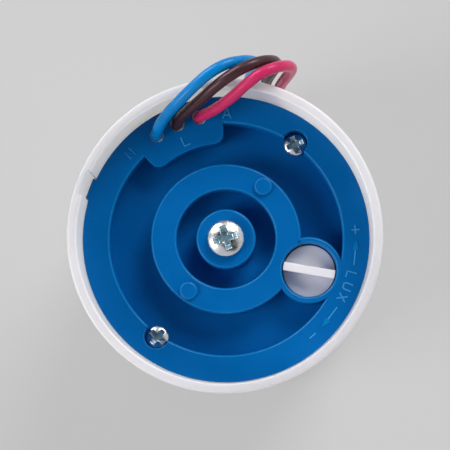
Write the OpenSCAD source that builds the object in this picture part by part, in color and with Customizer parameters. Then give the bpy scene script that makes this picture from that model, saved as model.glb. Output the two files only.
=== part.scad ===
// Dusk-to-dawn photocell switch: a white cup closed by a recessed blue base plate.
// It stands on the flat crown of the cup with the base plate upwards.
// Origin at the centre of the crown, +Z out of the base plate, millimetres.

/* [Cup] */
// Outside diameter of the cup at its rim
rim_d = 68; // [60:0.5:80]
// Height from the crown to the rim
cup_h = 70; // [62:0.5:90]
// Thickness of the moulded wall
cup_wall = 2.1; // [1.8:0.1:2.8]
// Taper of the cup wall towards the crown, in degrees
draft = 3; // [1:0.5:4]
// Radius of the rounded edge round the crown
crown_r = 8; // [5:0.5:12]
// Rounding of the two edges of the rim
rim_round = 0.5; // [0.2:0.1:0.8]
// Depth of the base plate's face below the rim
skirt_h = 9.5; // [7:0.5:12]
// How far the seat ribs stand in from the wall under the base plate
seat_w = 1.6; // [1:0.1:2]
// Height of each seat rib
seat_rib_h = 10; // [6:1:16]
// Thickness of seat ribs and webs
web_t = 1.6; // [1.2:0.1:2]
// Diameter of the two screw posts
post_d = 6.2; // [5.4:0.1:6.6]

/* [Base plate] */
// Gap between the base plate and the cup wall at the seat
base_gap = 0.1; // [0.1:0.05:0.4]
// Width of the outer land
land_w = 5.75; // [5:0.05:6.5]
// Thickness of the flange under the land
flange_t = 2.5; // [2:0.1:3]
// Depth of the recess below the land
recess_depth = 6; // [5:0.25:7]
// Thickness of the recess floor
floor_t = 2.2; // [1.8:0.1:3]
// Thickness of the upright walls
wall_t = 2.2; // [1.6:0.1:2.6]
// Radius of the middle of the bracket ring
ring_r = 13.6; // [13:0.1:14]
// Width of the bracket ring
ring_w = 5.6; // [5:0.1:6]
// How far the ring stands above the land, so that the bracket bears on it
seat_rise = 0.15; // [0.1:0.05:0.4]
// Width of the groove moulded under the ring
ring_groove = 2; // [1.4:0.1:2.4]
// Diameter of the centre boss
boss_d = 13; // [12.4:0.1:14]
// Chamfer on the moulded edges
edge = 0.3; // [0.1:0.05:0.4]
// Direction of the key tab, in degrees
key_angle = 159.5; // [150:0.5:170]
// Width of the key tab
key_w = 4.5; // [3:0.1:6]
// How far the key tab stands out of the plate
key_out = 0.75; // [0.5:0.05:1]
// Gap on each side of the key tab in its notch
key_gap = 0.4; // [0.2:0.05:0.6]

/* [Bracket fixing] */
// Diameter of the two locating pips
pip_d = 4; // [3:0.1:4]
// Height of the locating pips
pip_h = 0.9; // [0.5:0.1:1.2]
// Distance of the pips from the centre
pip_r = 14; // [13.6:0.1:14]
// Thread diameter of the bracket screw
bracket_screw_d = 4; // [3.5:0.5:4]
// Length of the bracket screw under its head
bracket_screw_len = 10; // [9:0.5:12]
// Width across the flats of the captive nut
nut_af = 7; // [6:0.5:7]
// Thickness of the captive nut
nut_t = 3.2; // [2.4:0.1:3.2]

/* [Base screws] */
// Direction of the line through the base screws and the pips, in degrees
screw_angle = 54.5; // [50:0.5:60]
// Distance from the edge of the base plate to a base screw's axis
screw_inset = 5.15; // [5:0.05:5.3]
// Thread diameter of the base screws
base_screw_d = 2.9; // [2.5:0.1:3.1]
// Length of the base screws under the head
base_screw_len = 9.5; // [8:0.5:13]
// Gap round a screw head in its pocket
pocket_gap = 0.25; // [0.15:0.05:0.4]
// Wall round a screw pocket
pocket_wall = 1.6; // [1.2:0.1:1.8]
// Rounding of the corners where a screw pocket opens into the recess
pocket_corner = 0.8; // [0.4:0.1:1]

/* [Sensitivity dial] */
// Direction of the dial from the centre, in degrees
dial_angle = -20.8; // [-30:0.1:-15]
// Distance of the dial's axis from the centre
dial_r = 19.4; // [19:0.1:19.8]
// Diameter of the dial
dial_d = 11.4; // [10.4:0.1:11.6]
// Running gap between the dial and its hole
dial_gap = 0.25; // [0.2:0.05:0.4]
// Wall of the boss round the dial
dial_wall = 1.3; // [1:0.1:1.6]
// Width of the grip rib
grip_w = 1.85; // [1.4:0.05:2.4]
// Height of the grip rib
grip_h = 3; // [2:0.1:4]
// Depth of the top of the grip rib below the land
grip_drop = 0.2; // [0:0.1:0.8]
// Direction in which the grip rib points at rest, in degrees
grip_turn = -10; // [-90:1:90]
// Diameter of the dial's spindle
spindle_d = 4.8; // [4.4:0.1:5.2]

/* [Leads] */
// Outside diameter of the lead insulation
lead_d = 2.5; // [2.2:0.1:2.6]
// Direction of the middle lead hole, in degrees
lead_angle = 113; // [110:0.5:116]
// Distance between lead holes along their arc
lead_spacing = 5.1; // [4.6:0.1:5.4]
// Distance from the edge of the base plate to the lead holes
lead_inset = 3.75; // [3.65:0.05:3.95]
// How far the lead lobe stands into the recess
lobe_in = 4.35; // [4:0.05:5]
// Distance along the arc from an outer lead hole to the end of the lead lobe
lobe_end = 5.2; // [5:0.1:6]
// Corner radius of the lead lobe
lobe_corner = 2.2; // [1.5:0.1:3]
// Wall of the white seal round each lead
seal_wall = 0.3; // [0.25:0.05:0.4]
// Thickness of the strip that joins the seals
seal_strip_t = 1; // [0.8:0.1:1.4]
// Length of the stripped and tinned tip of each lead
tip_len = 7; // [4:0.5:8]
// Diameter of the tinned strands
tip_d = 1.2; // [1:0.1:1.4]

/* [Circuit board] */
// Diameter of the circuit board
board_d = 50; // [48:0.5:52]
// Thickness of the circuit board
board_t = 1.6; // [1.2:0.2:2]
// Gap between the base plate's floor and the board
board_gap = 8.3; // [7:0.1:10]
// Gap between the board's flats and the screw posts
board_post_gap = 1.4; // [1:0.1:2]
// Diameter of the moulded posts that carry the board
board_post_d = 5.2; // [4.6:0.1:5.6]
// Thread diameter of the board screws
board_screw_d = 2.2; // [1.8:0.1:2.4]
// Length of the board screws under the head
board_screw_len = 6.5; // [5:0.5:8]
// Room left between neighbouring components
part_gap = 0.6; // [0.5:0.05:0.8]
// Relay: width, length and height
relay_size = [15.5, 19, 15.3]; // [10:0.1:22]
// Film capacitor: width, length and height
film_size = [7.5, 18, 13.5]; // [5:0.1:20]
// Smoothing capacitor: diameter and height
smoothing_size = [10, 16]; // [6:0.5:20]
// Timing capacitor: diameter and height
timing_size = [5, 11]; // [4:0.5:14]
// Varistor: diameter and thickness
varistor_size = [9, 4]; // [3:0.5:10]
// Light sensor: diameter and thickness
sensor_size = [5.1, 2.1]; // [1.8:0.1:6]
// Length of the tube that carries the light sensor
sensor_tube_len = 17; // [12:0.5:24]
// Wall of the tube that carries the light sensor
sensor_tube_wall = 0.9; // [0.8:0.1:1.2]

/* [Hidden] */
$fn = 96;

// Clearances and allowances
cut = 1;
thread_gap = 0.05;
running_gap = 0.15;
hole_gap = 0.2;
seat_gap = 0.05;
post_drop = 0.2;

// Heights above the crown
land_z = cup_h - skirt_h;
ring_z = land_z + seat_rise;
seat_z = land_z - flange_t;
floor_z = land_z - recess_depth;
under_z = floor_z - floor_t;
board_top = under_z - board_gap;
board_low = board_top - board_t;
post_top = under_z - post_drop;

// Radii of the base plate
base_r = cup_in(seat_z) - base_gap;
land_in = base_r - land_w;
ring_out = ring_r + ring_w / 2;
ring_in = ring_r - ring_w / 2;
boss_r = boss_d / 2;
lobe_r = land_in - lobe_in;
wall_out = land_in + wall_t;

// Positions on the base plate
screw_r = base_r - screw_inset;
lead_r = base_r - lead_inset;
lead_step = lead_spacing / lead_r * 180 / PI;
lead_angles = [lead_angle + lead_step, lead_angle, lead_angle - lead_step];
lobe_half = lead_step + lobe_end / lead_r * 180 / PI;
hole_r = lead_d / 2 + hole_gap / 4 + seal_wall;
dial_hole_r = dial_d / 2 + dial_gap;
dial_boss_r = dial_hole_r + dial_wall;
dial_at = polar(dial_r, dial_angle);

// Screw heads, as head diameter and height for a thread diameter
function head_d(d) = 2 * d - (d < 3.5 ? 0.8 : 0);
function head_h(d) = 0.6 * d + 0.3;
pocket_r = head_d(base_screw_d) / 2 + pocket_gap;
cross_turn = 17;

// Dial and trimmer
collar_r = dial_hole_r + 1.1;
collar_t = 1.1;
collar_gap = 0.3;
hex_af = 3.4;
trimmer_r = 5.15;
trimmer_t = 4.8;
trimmer_lip = 1.4;
rotor_r = 4;
rotor_hub_r = 2.1;

// Component places on the board, in the frame of the base screws
flat_u = screw_r - post_d / 2 - board_post_gap;
relay_at = [-relay_size.x / 2 - 1.25, -6];
film_at = [2.2 + film_size.x / 2, 4];
smoothing_at = [film_at.x + film_size.x / 2 + part_gap + smoothing_size[0] / 2, -2];
timing_at = [smoothing_at.x, smoothing_at.y - (smoothing_size[0] + timing_size[0]) / 2 - 2 * part_gap];
varistor_at = [-14.5, relay_at.y + relay_size.y / 2 + varistor_size[1] / 2 + 3];
sensor_bore = sensor_size[0] / 2 + 0.3;
sensor_tube_r = sensor_bore + sensor_tube_wall;
sensor_at = [3.5, film_at.y - film_size.y / 2 - part_gap - sensor_tube_r];
transistor_d = 4.8;
dropper_at = [-3.5, relay_at.y + relay_size.y / 2 + 3.5];
diode_places = [for (i = [0:3]) [-11 + 3.5 * i, 15.4]];
zener_at = [4, 17.5];
resistor_places = [for (i = [0:2]) [15.2, 9 + 3 * i]];
transistor_places = [[9.2, 17], timing_at - [2.8, (timing_size[0] + transistor_d) / 2 + part_gap]];
board_post_places = [[-6, -20], [flat_u - board_post_d / 2, 5.5], [-3, 22]];
sensor_leg_d = 0.6;
axial_wire_d = 0.7;

// Routes of the free leads from the mouth of each hole, heights measured from the land
blue_route = [[-14.4, 24.3, 3.6], [-12.3, 26.7, 7.2], [-9.2, 29.4, 10.4], [-6.1, 32.1, 12.3], [-3.1, 34.5, 13],
              [0, 36.3, 12.7], [3, 37.3, 11], [5.5, 37.9, 7.8], [6.7, 38.1, 3], [6.5, 37.9, -2.5],
              [5.6, 37.6, -8], [4.9, 37.3, -14], [4.6, 37.1, -20], [4.5, 37, -26], [4.5, 37, -32],
              [4.5, 37, -38], [4.5, 37, -44], [4.5, 37, -49]];
brown_route = [[-9.9, 26.1, 3], [-7.9, 27.5, 6], [-4.8, 29.6, 9.5], [-1.8, 31.8, 12.1], [1.2, 33.8, 13.6],
               [4.4, 35.6, 13.8], [7.4, 36.9, 12.4], [9.8, 37.7, 9.4], [11, 38, 5], [10.8, 37.8, -0.5],
               [9.9, 37.4, -6], [9, 37, -12], [8.5, 36.8, -18], [8.3, 36.7, -24], [8.3, 36.7, -30],
               [8.3, 36.7, -36], [8.3, 36.7, -42], [8.3, 36.7, -48]];
red_route = [[-4.7, 26.9, 3], [-2.5, 27.5, 5.8], [-0.1, 28.7, 8.4], [2.4, 30.3, 10.8], [4.9, 32.2, 12.8],
             [7.8, 34.2, 13.7], [10.8, 35.6, 12.7], [13.1, 36.5, 9.6], [14.3, 36.9, 5], [14.1, 36.7, -0.5],
             [13.1, 36.3, -6], [12.2, 36, -12], [11.6, 35.8, -18], [11.4, 35.7, -24], [11.4, 35.7, -30],
             [11.4, 35.7, -36], [11.4, 35.7, -42], [11.4, 35.7, -48]];
lead_start = -flange_t - seal_strip_t;
tail_fall = land_z + lead_start - board_top;
tail_in = 5.2;
tail_straight = 0.8;
tube_sides = 8;

// Colours
white = "whitesmoke";
blue = [0.05, 0.36, 0.66];
zinc = [0.78, 0.79, 0.8];
can_blue = [0.1, 0.16, 0.38];
black = [0.09, 0.09, 0.1];

function polar(r, a) = r * [cos(a), sin(a)];
function arc(c, r, from, to, n = 8) = [for (i = [0:n]) c + polar(r, from + (to - from) * i / n)];
function unit(v) = v / norm(v);
function rise(v, h) = [v.x, v.y, h];

// Radius of the cup's outer and inner faces at height z
function cup_out(z) = rim_d / 2 - (cup_h - z) * tan(draft);
function cup_in(z) = cup_out(z) - cup_wall / cos(draft);

// Frame carried along a route, for a tube's rings
function along(p, i) = unit(p[min(i + 1, len(p) - 1)] - p[max(i - 1, 0)]);
function side(p, i) = i == 0 ? [1, 0, 0] : let(s = side(p, i - 1), t = along(p, i)) unit(s - (s * t) * t);

// Round tube of diameter d along the points p
module tube(p, d) {
    rings = len(p);
    points = [
        for (i = [0:rings - 1])
            let(t = along(p, i), s = side(p, i))
            for (k = [0:tube_sides - 1])
                p[i] + d / 2 * (cos(360 * k / tube_sides) * s + sin(360 * k / tube_sides) * cross(t, s))
    ];
    walls = [
        for (i = [0:rings - 2], k = [0:tube_sides - 1])
            let(a = i * tube_sides + k, b = i * tube_sides + (k + 1) % tube_sides)
            each [[a, a + tube_sides, b], [b, a + tube_sides, b + tube_sides]]
    ];
    start_cap = [for (k = [0:tube_sides - 1]) k];
    end_cap = [for (k = [tube_sides - 1:-1:0]) (rings - 1) * tube_sides + k];
    polyhedron(points = points, faces = concat(walls, [start_cap, end_cap]));
}

// Turns a shape into the frame of the base screws
module screw_frame() {
    rotate([0, 0, screw_angle])
        children();
}

// Hangs a component under the board, its foot on the board's lower face
module hang(at) {
    screw_frame()
        translate([at.x, at.y, board_low])
            mirror([0, 0, 1])
                children();
}

// Flat ring sector between two radii, to half an angle each side of +X
module sector(r_low, r_high, half) {
    intersection() {
        difference() {
            circle(r_high);
            circle(r_low);
        }
        polygon([[0, 0], polar(2 * r_high, -half), polar(2 * r_high, half)]);
    }
}

// Sector with its two inner corners rounded
module rounded_sector(r_low, r_high, half, corner) {
    corner_r = r_low + corner;
    turn = asin(corner / corner_r);
    sector(r_low, r_high, half - turn);
    sector(corner_r * cos(turn), r_high, half);
    for (s = [-1, 1])
        translate(polar(corner_r, s * (half - turn)))
            circle(corner);
}

// Upright box with rounded vertical edges, standing on z = 0
module rounded_box(size, corner) {
    linear_extrude(size.z)
        union() {
            square([size.x - 2 * corner, size.y], center = true);
            square([size.x, size.y - 2 * corner], center = true);
            for (x = [-1, 1], y = [-1, 1])
                translate([x * (size.x / 2 - corner), y * (size.y / 2 - corner)])
                    circle(corner);
        }
}

// Pan-head screw with a cross recess, its head standing on z = 0 and its shank below
module pan_screw(d, len) {
    r = head_d(d) / 2;
    h = head_h(d);
    crown = h * 0.45;
    point = d / 4;
    recess_len = r * 1.15;
    recess_w = d * 0.26;
    difference() {
        rotate_extrude()
            polygon(concat(
                [[0, -len], [d / 2 - point, -len], [d / 2, -len + point], [d / 2, 0], [r, 0]],
                [for (i = [0:6]) [r * cos(i * 12), h - crown + crown * sin(i * 12) / sin(72)]],
                [[0, h]]));
        rotate([0, 0, cross_turn])
            translate([0, 0, h * 0.4])
                for (a = [0, 90])
                    rotate([0, 0, a])
                        translate([-recess_len, -recess_w / 2, 0])
                            cube([2 * recess_len, recess_w, h]);
    }
}

// Component with a round body between two wire ends bent down to the board
module axial_part(body_d, body_len, waist = 0) {
    axis_z = body_d / 2 + seat_gap;
    reach = body_len / 2 + 1.2;
    translate([0, 0, axis_z])
        rotate([0, 90, 0])
            rotate_extrude()
                polygon([
                    [0, -body_len / 2], [body_d / 2, -body_len / 2], [body_d / 2, -body_len / 4],
                    [body_d / 2 - waist, -body_len / 4 + waist], [body_d / 2 - waist, body_len / 4 - waist],
                    [body_d / 2, body_len / 4], [body_d / 2, body_len / 2], [0, body_len / 2]]);
    translate([0, 0, axis_z])
        rotate([0, 90, 0])
            cylinder(d = axial_wire_d, h = 2 * reach, center = true);
    for (s = [-1, 1])
        translate([s * reach, 0, 0])
            cylinder(d = axial_wire_d, h = axis_z);
}

// Aluminium can with a rolled groove near its foot
module round_can(d, h) {
    r = d / 2;
    bead = 0.35;
    rotate_extrude()
        polygon(concat(
            [[0, 0], [r - bead, 0], [r, bead], [r, 1.4], [r - bead, 1.8], [r - bead, 2.2], [r, 2.6]],
            arc([r - 0.8, h - 0.8], 0.8, 0, 90),
            [[0, h]]));
}

// Outer form of the cup, as a filled half section
module cup_outline() {
    crown_at = [cup_out(crown_r) - crown_r / cos(draft), crown_r];
    rim_at = [cup_out(cup_h - rim_round) - rim_round / cos(draft), cup_h - rim_round];
    polygon(concat(
        [[0, 0]],
        arc(crown_at, crown_r, -90, -draft, 16),
        arc(rim_at, rim_round, -draft, 90, 6),
        [[0, cup_h]]));
}

// Space inside the cup, as a filled half section
module cup_hollow() {
    crown_at = [cup_out(crown_r) - crown_r / cos(draft), crown_r];
    rim_at = [cup_in(cup_h - rim_round) + rim_round / cos(draft), cup_h - rim_round];
    polygon(concat(
        [[0, cup_wall]],
        arc(crown_at, crown_r - cup_wall, -90, -draft, 16),
        arc(rim_at, rim_round, 180 - draft, 90, 6),
        [[rim_at.x, cup_h + cut], [0, cup_h + cut]]));
}

module housing_cup() {
    notch_half = (key_w / 2 + key_gap) / base_r * 180 / PI;
    notch_out = key_out + base_gap;
    color(white)
        difference() {
            union() {
                difference() {
                    rotate_extrude()
                        cup_outline();
                    rotate_extrude()
                        cup_hollow();
                }
                intersection() {
                    rotate_extrude()
                        cup_outline();
                    screw_frame()
                        cup_posts();
                }
                screw_frame()
                    for (a = [22.5:45:337.5])
                        rotate([0, 0, a])
                            seat_rib();
            }
            screw_frame()
                for (s = [-1, 1])
                    translate([s * screw_r, 0, post_top - base_screw_len])
                        cylinder(d = base_screw_d + 2 * thread_gap, h = base_screw_len + cut);
            rotate([0, 0, key_angle - notch_half])
                rotate_extrude(angle = 2 * notch_half)
                    polygon([
                        [cup_in(seat_z) - cut, seat_z], [cup_in(seat_z) + notch_out, seat_z],
                        [cup_in(cup_h) + notch_out, cup_h], [cup_in(cup_h) + notch_out, cup_h + cut],
                        [cup_in(seat_z) - cut, cup_h + cut]]);
        }
}

// Two screw posts, each tied to the wall by a web
module cup_posts() {
    for (s = [-1, 1])
        translate([s * screw_r, 0, 0]) {
            cylinder(d = post_d, h = post_top);
            translate([s > 0 ? 0 : -rim_d / 2, -web_t / 2, 0])
                cube([rim_d / 2, web_t, post_top]);
        }
}

// Gusset on the cup wall whose top carries the base plate
module seat_rib() {
    in_r = cup_in(seat_z) - seat_w;
    root = cup_wall / 2;
    low_z = seat_z - seat_rib_h;
    translate([0, web_t / 2, 0])
        rotate([90, 0, 0])
            linear_extrude(web_t)
                polygon([
                    [in_r, seat_z], [cup_in(seat_z) + root, seat_z],
                    [cup_in(low_z) + root, low_z], [cup_in(low_z), low_z], [in_r, seat_z - seat_w]]);
}

// Half section of the base plate's land, recess, ring and boss
module base_section() {
    groove_top = land_z - flange_t;
    polygon([
        [0, under_z], [ring_r - ring_groove / 2, under_z], [ring_r - ring_groove / 2, groove_top],
        [ring_r + ring_groove / 2, groove_top], [ring_r + ring_groove / 2, under_z],
        [wall_out, under_z], [wall_out, seat_z], [base_r, seat_z],
        [base_r + flange_t * tan(draft), land_z], [land_in + edge, land_z],
        [land_in, land_z - edge], [land_in, floor_z], [ring_out, floor_z],
        [ring_out, ring_z - edge], [ring_out - edge, ring_z], [ring_in + edge, ring_z],
        [ring_in, ring_z - edge], [ring_in, floor_z], [boss_r, floor_z],
        [boss_r, land_z - edge], [boss_r - edge, land_z], [0, land_z]]);
}

// Plan of the wall round one screw pocket, outside the recess
module pocket_wall_outline(x) {
    difference() {
        translate([x, 0])
            circle(pocket_r + pocket_wall);
        circle(land_in + wall_t / 2);
    }
}

// Plan of one screw pocket, the corners at its mouth rounded
module pocket_outline(x) {
    f = pocket_corner;
    centre = [x, 0];
    far = land_in + 0.9 * f;
    near = pocket_r + 0.9 * f;
    turn = acos((x * x + far * far - near * near) / (2 * x * far));
    mouth = acos((x * x + land_in * land_in - pocket_r * pocket_r) / (2 * x * land_in));
    translate(centre)
        circle(pocket_r);
    for (s = [-1, 1]) {
        c = polar(far, s * turn);
        corner = polar(land_in, s * mouth);
        difference() {
            polygon([
                c, c - (1.4 * f) * unit(c), corner - 0.4 * f * (unit(corner) + unit(corner - centre)),
                c - (1.4 * f) * unit(c - centre)]);
            translate(c)
                circle(f);
        }
    }
}

// Raised parts of the base plate before anything is cut from it
module base_body() {
    rotate_extrude()
        base_section();
    translate(dial_at)
        rotate_extrude()
            polygon([
                [0, under_z], [dial_boss_r, under_z], [dial_boss_r, ring_z - edge],
                [dial_boss_r - edge, ring_z], [0, ring_z]]);
    rotate([0, 0, lead_angle])
        translate([0, 0, under_z])
            linear_extrude(land_z - under_z)
                rounded_sector(lobe_r, land_in + 2 * edge, lobe_half, lobe_corner);
    rotate([0, 0, key_angle])
        translate([land_in + land_w / 2, -key_w / 2, seat_z])
            cube([land_w / 2 + key_out, key_w, flange_t]);
    screw_frame() {
        for (s = [-1, 1]) {
            translate([0, 0, under_z])
                linear_extrude(seat_z - under_z + flange_t / 2)
                    pocket_wall_outline(s * screw_r);
            translate([s * pip_r, 0, ring_z - edge])
                rotate_extrude()
                    polygon([
                        [0, 0], [pip_d / 2, 0], [pip_d / 2, pip_h], [pip_d / 2 - edge, pip_h + edge],
                        [0, pip_h + edge]]);
        }
        for (p = board_post_places)
            translate([p.x, p.y, board_top])
                cylinder(d = board_post_d, h = board_gap + floor_t / 2);
    }
}

module base_plate() {
    hollow_half = lobe_half - wall_t / lead_r * 180 / PI;
    color(blue)
        difference() {
            base_body();
            rotate([0, 0, lead_angle])
                translate([0, 0, under_z - cut])
                    linear_extrude(seat_z - under_z + cut)
                        sector(lobe_r + wall_t, lead_r + hole_r + 2 * edge, hollow_half);
            for (a = lead_angles)
                translate(rise(polar(lead_r, a), seat_z - cut))
                    cylinder(r = hole_r, h = flange_t + 2 * cut);
            translate(rise(dial_at, under_z - cut))
                rotate_extrude()
                    polygon([
                        [0, 0], [dial_hole_r, 0], [dial_hole_r, ring_z - edge - under_z + cut],
                        [dial_hole_r + edge, ring_z - under_z + cut],
                        [dial_hole_r + edge, ring_z - under_z + 2 * cut], [0, ring_z - under_z + 2 * cut]]);
            translate([0, 0, under_z - cut])
                cylinder(d = bracket_screw_d + 2 * hole_gap, h = land_z - under_z + 2 * cut);
            translate([0, 0, under_z - cut])
                cylinder(d = (nut_af + hole_gap) / cos(30), h = nut_t + cut, $fn = 6);
            screw_frame() {
                for (a = [0, 180])
                    rotate([0, 0, a]) {
                        translate([0, 0, floor_z])
                            linear_extrude(recess_depth + cut)
                                pocket_outline(screw_r);
                        translate([screw_r, 0, under_z - cut])
                            cylinder(d = base_screw_d + 2 * hole_gap, h = floor_t + 2 * cut);
                    }
                for (p = board_post_places)
                    translate([p.x, p.y, board_top - cut])
                        cylinder(d = board_screw_d + 2 * thread_gap, h = board_screw_len - board_t + 2 * cut);
            }
        }
}

// White strip under the lobe with a short tube up each lead hole
module lead_seal() {
    bore_d = lead_d + hole_gap / 4;
    strip_half = lead_step + hole_r * 1.7 / lead_r * 180 / PI;
    strip_low = seat_z - seal_strip_t;
    tube_top = land_z - 2 * edge;
    color(white)
        difference() {
            union() {
                rotate([0, 0, lead_angle])
                    translate([0, 0, strip_low])
                        linear_extrude(seal_strip_t)
                            sector(lead_r - 1.6 * hole_r, lead_r + 1.1 * hole_r, strip_half);
                for (a = lead_angles)
                    translate(rise(polar(lead_r, a), strip_low))
                        cylinder(r = hole_r - thread_gap / 2, h = tube_top - strip_low);
            }
            for (a = lead_angles)
                translate(rise(polar(lead_r, a), strip_low - cut))
                    cylinder(d = bore_d, h = flange_t + seal_strip_t + 2 * cut);
        }
}

module lux_dial() {
    face_z = land_z - grip_drop - grip_h;
    collar_z = under_z - collar_gap;
    hex_top = board_low - running_gap;
    hex_low = board_low - trimmer_t + trimmer_lip + running_gap;
    color(white)
        translate(dial_at) {
            rotate_extrude()
                polygon([
                    [0, hex_top], [spindle_d / 2, hex_top], [spindle_d / 2, collar_z - collar_t],
                    [collar_r, collar_z - collar_t], [collar_r, collar_z], [dial_d / 2, collar_z],
                    [dial_d / 2, face_z], [0, face_z]]);
            intersection() {
                translate([0, 0, face_z - grip_h / 2])
                    cylinder(d = dial_d, h = grip_h * 1.5);
                rotate([0, 0, grip_turn])
                    translate([-dial_d / 2, -grip_w / 2, face_z - grip_h / 4])
                        cube([dial_d, grip_w, grip_h * 1.25]);
            }
            translate([0, 0, hex_low])
                cylinder(d = hex_af / cos(30), h = hex_top - hex_low + cut, $fn = 6);
        }
}

// Round carbon trimmer under the board, open towards the dial's spindle
module trimmer_body() {
    low_z = board_low - trimmer_t;
    color([0.16, 0.3, 0.62])
        translate(rise(dial_at, low_z))
            difference() {
                cylinder(r = trimmer_r, h = trimmer_t);
                translate([0, 0, trimmer_lip])
                    cylinder(r = rotor_r + running_gap, h = trimmer_t);
                translate([0, 0, -cut])
                    cylinder(r = rotor_hub_r + running_gap, h = trimmer_t);
            }
}

module trimmer_rotor() {
    disc_low = board_low - trimmer_t + trimmer_lip + running_gap / 2;
    color(white)
        translate(dial_at)
            difference() {
                union() {
                    translate([0, 0, disc_low])
                        cylinder(r = rotor_r, h = board_low - running_gap - disc_low);
                    translate([0, 0, board_low - trimmer_t + running_gap])
                        cylinder(r = rotor_hub_r, h = trimmer_lip);
                }
                translate([0, 0, disc_low])
                    cylinder(d = (hex_af + 2 * thread_gap) / cos(30), h = trimmer_t, $fn = 6);
            }
}

module bracket_screw() {
    color(zinc)
        translate([0, 0, land_z])
            pan_screw(bracket_screw_d, bracket_screw_len);
}

module captive_nut() {
    color(zinc)
        translate([0, 0, under_z])
            difference() {
                cylinder(d = nut_af / cos(30), h = nut_t, $fn = 6);
                translate([0, 0, -cut])
                    cylinder(d = bracket_screw_d + 2 * thread_gap, h = nut_t + 2 * cut);
            }
}

module base_screws() {
    color(zinc)
        screw_frame()
            for (s = [-1, 1])
                translate([s * screw_r, 0, floor_z])
                    pan_screw(base_screw_d, base_screw_len);
}

module circuit_board() {
    color([0.75, 0.6, 0.32])
        difference() {
            translate([0, 0, board_low])
                linear_extrude(board_t)
                    intersection() {
                        circle(d = board_d);
                        rotate(screw_angle)
                            square([2 * flat_u, board_d], center = true);
                    }
            translate(rise(dial_at, board_low - cut))
                cylinder(d = spindle_d + 4 * running_gap, h = board_t + 2 * cut);
            screw_frame()
                for (p = board_post_places)
                    translate([p.x, p.y, board_low - cut])
                        cylinder(d = board_screw_d + 2 * hole_gap, h = board_t + 2 * cut);
        }
}

module board_screws() {
    color(zinc)
        for (p = board_post_places)
            hang(p)
                pan_screw(board_screw_d, board_screw_len);
}

module relay() {
    color([0.12, 0.32, 0.68])
        hang(relay_at)
            rounded_box(relay_size, 0.6);
}

module film_capacitor() {
    color([0.82, 0.72, 0.2])
        hang(film_at)
            rounded_box(film_size, 0.5);
}

module smoothing_capacitor() {
    color(can_blue)
        hang(smoothing_at)
            round_can(smoothing_size[0], smoothing_size[1]);
}

module timing_capacitor() {
    color(can_blue)
        hang(timing_at)
            round_can(timing_size[0], timing_size[1]);
}

// Coated disc standing on two wires
module varistor() {
    r = varistor_size[0] / 2;
    t = varistor_size[1];
    leg = 2;
    color([0.1, 0.28, 0.6])
        hang(varistor_at) {
            translate([0, 0, leg + r])
                rotate([90, 0, 0])
                    rotate_extrude()
                        polygon([
                            [0, -t / 2], [r - t / 4, -t / 2], [r, -t / 4], [r, t / 4], [r - t / 4, t / 2],
                            [0, t / 2]]);
            for (s = [-1, 1])
                translate([s * r / 2, 0, 0])
                    cylinder(d = axial_wire_d, h = leg + r / 2);
        }
}

// Light-dependent resistor on two long wires, facing the crown
module light_sensor() {
    d = sensor_size[0];
    t = sensor_size[1];
    color([0.85, 0.5, 0.3])
        hang(sensor_at) {
            translate([0, 0, sensor_tube_len - t])
                intersection() {
                    cylinder(d = d, h = t);
                    translate([-d / 2, -d * 0.42, 0])
                        cube([d, d * 0.84, t]);
                }
            for (s = [-1, 1])
                translate([s * d * 0.33, 0, 0])
                    cylinder(d = sensor_leg_d, h = sensor_tube_len - t / 2);
        }
}

module sensor_tube() {
    color(black)
        hang(sensor_at)
            difference() {
                cylinder(r = sensor_tube_r, h = sensor_tube_len);
                translate([0, 0, -cut])
                    cylinder(r = sensor_bore, h = sensor_tube_len + 2 * cut);
            }
}

module rectifier_diodes() {
    color(black)
        for (p = diode_places)
            hang(p)
                rotate([0, 0, 90])
                    axial_part(2.7, 5.2);
}

module zener_diode() {
    color([0.75, 0.3, 0.15])
        hang(zener_at)
            rotate([0, 0, 90])
                axial_part(2, 4);
}

module dropper_resistor() {
    color([0.45, 0.6, 0.68])
        hang(dropper_at)
            axial_part(4, 7, 0.3);
}

module signal_resistors() {
    color([0.82, 0.7, 0.5])
        for (p = resistor_places)
            hang(p)
                axial_part(2.3, 4, 0.25);
}

// Small transistors with a flat face, standing on three wires
module transistors() {
    d = transistor_d;
    leg = 3;
    color(black)
        for (p = transistor_places)
            hang(p) {
                translate([0, 0, leg])
                    intersection() {
                        cylinder(d = d, h = d);
                        translate([-d / 2 + 1.2, -d / 2, 0])
                            cube([d, d, d]);
                    }
                for (y = [-1.27, 0, 1.27])
                    translate([0.3, y, 0])
                        cylinder(d = axial_wire_d, h = leg + 1);
            }
}

// Stretch of a lead inside the cup, from its seal to the board
module tail(i) {
    a = lead_angles[i];
    bend_top = board_top + tail_fall - tail_straight;
    bend_fall = tail_fall - 2 * tail_straight;
    bend = [for (k = [0:5])
        let(s = k / 5)
        rise(polar(lead_r - tail_in * (1 - cos(180 * s)) / 2, a), bend_top - bend_fall * s)];
    tube(concat(
        [rise(polar(lead_r, a), board_top + tail_fall)],
        bend,
        [rise(polar(lead_r - tail_in, a), board_top)]), lead_d);
}

module tail_blue() {
    color("royalblue")
        tail(0);
}

module tail_brown() {
    color("saddlebrown")
        tail(1);
}

module tail_red() {
    color("crimson")
        tail(2);
}

// Points of a free lead: up through its seal, then along its route
function lead_points(i, route) =
    let(mouth = polar(lead_r, lead_angles[i]))
    concat(
        [rise(mouth, land_z + lead_start), rise(mouth, land_z)],
        [for (p = route) [p.x, p.y, p.z + land_z]]);

module lead_blue() {
    color("dodgerblue")
        tube(lead_points(0, blue_route), lead_d);
}

module lead_brown() {
    color([0.3, 0.22, 0.2])
        tube(lead_points(1, brown_route), lead_d);
}

module lead_red() {
    color("crimson")
        tube(lead_points(2, red_route), lead_d);
}

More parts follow.
